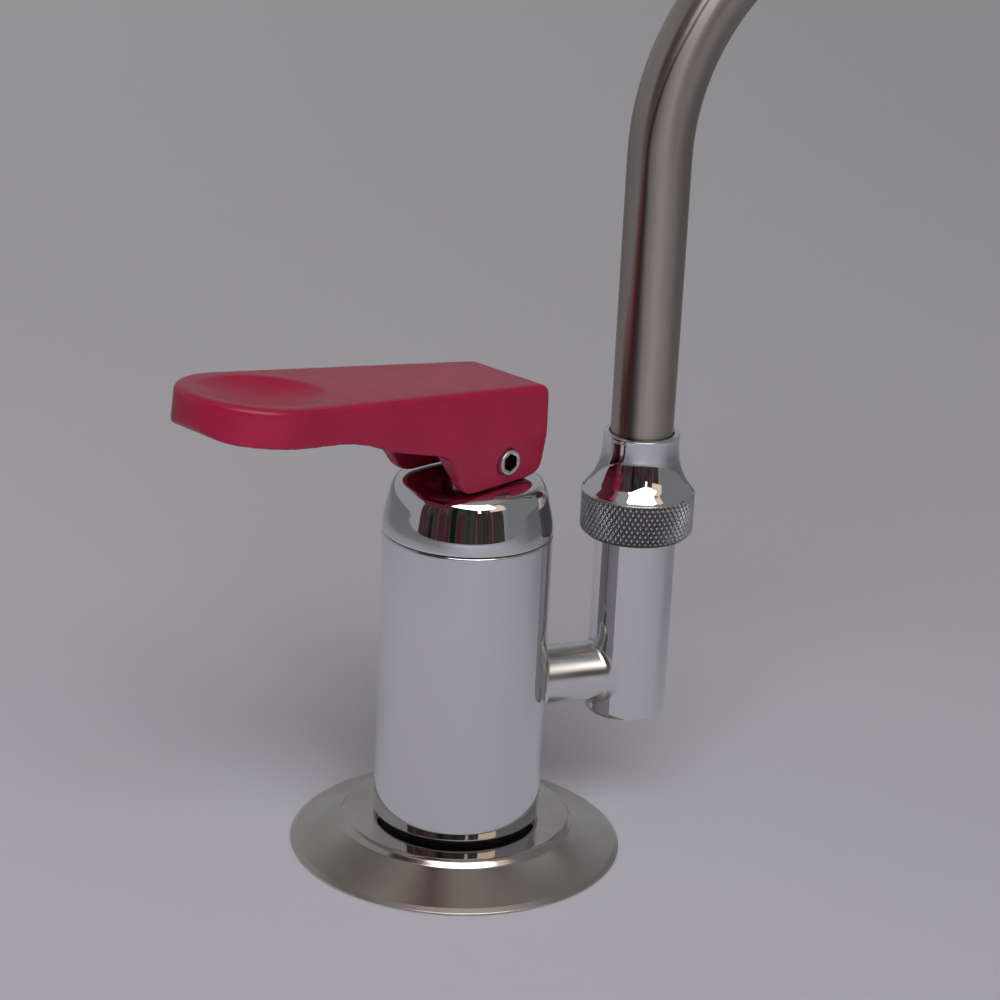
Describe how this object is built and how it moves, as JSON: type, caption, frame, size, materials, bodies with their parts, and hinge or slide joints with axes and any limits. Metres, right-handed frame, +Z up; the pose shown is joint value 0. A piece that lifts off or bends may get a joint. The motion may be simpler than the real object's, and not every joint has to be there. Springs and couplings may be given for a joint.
{
  "type": "boiling water tap",
  "caption": "Self-closing boiling water tap: chromed body on a round base plate, rocking red lever that lifts the valve stem, side arm, knurled nut and swivelling gooseneck spout.",
  "frame": {"origin": "on the tap body's axis, at the level of the deck that the base plate stands on", "axes": "+Z up along the body, +X from the body to the spout riser and on to the outlet, +Y across"},
  "size_m": [0.2006, 0.0658, 0.2296],
  "materials": {
    "chrome": "polished chrome plate on brass",
    "satin_steel": "satin polished stainless",
    "brushed_tube": "stainless tube brushed along its length",
    "plain_steel": "turned stainless",
    "brass": "as machined",
    "crimson_plastic": "semi-gloss moulded crimson",
    "black_rubber": "matt moulded",
    "white_plastic": "low-friction plastic, machined"
  },
  "bodies": {
    "body": {"tap_body": "chrome", "side_arm": "chrome", "spout_socket": "chrome", "dome_cap": "chrome", "cap_oring": "black_rubber", "gland_ring": "brass", "stem_oring_upper": "black_rubber", "stem_oring_lower": "black_rubber", "spring_washer": "plain_steel", "return_spring": "plain_steel", "valve_seat": "brass", "escutcheon": "satin_steel", "body_gasket": "black_rubber", "base_seal": "black_rubber", "threaded_shank": "brass", "deck_washer": "black_rubber", "steel_washer": "plain_steel", "lock_washer": "plain_steel", "lock_nut": "brass"},
    "plunger": {"valve_plunger": "brass", "valve_washer": "black_rubber", "stem_snap_ring": "plain_steel"},
    "stem": {"valve_stem": "plain_steel"},
    "lever": {"lever": "crimson_plastic", "pivot_pin": "plain_steel"},
    "spout": {"spout_tube": "brushed_tube", "spout_sleeve": "brass", "spout_oring_lower": "black_rubber", "spout_oring_upper": "black_rubber", "spout_collar": "brass"},
    "slip_ring": {"spout_slip_ring": "white_plastic"},
    "nut": {"spout_nut": "chrome"}
  },
  "joints": [
    {"name": "stem_lift", "type": "slide", "parent": "body", "child": "plunger", "axis": [0, 0, 1], "range_m": [0, 0.00222], "stiffness_N_per_m": 400, "springref_m": -0.008, "deforming": ["return_spring"]},
    {"name": "lever_turn", "type": "hinge", "parent": "plunger", "child": "stem", "pos_m": [0, 0, 0.0796], "axis": [0, 0, 1], "range_deg": [-163, 117]},
    {"name": "lever_press", "type": "hinge", "parent": "stem", "child": "lever", "pos_m": [0, 0, 0.0796], "axis": [0.3907, -0.9205, 0], "range_deg": [0, 15]},
    {"name": "spout_swivel", "type": "hinge", "parent": "body", "child": "spout", "pos_m": [0.0343, 0, 0.0694], "axis": [0, 0, 1], "continuous": true},
    {"name": "nut_lift", "type": "slide", "parent": "body", "child": "slip_ring", "axis": [0, 0, 1], "range_m": [0, 0.005]},
    {"name": "nut_turn", "type": "hinge", "parent": "slip_ring", "child": "nut", "pos_m": [0.0343, 0, 0.0705], "axis": [0, 0, 1], "range_deg": [0, 1800]}
  ],
  "couplings": [
    {"joint": "lever_press", "follows": "stem_lift", "rad_per_m": 117.65},
    {"joint": "nut_turn", "follows": "nut_lift", "rad_per_m": 6283.2}
  ]
}
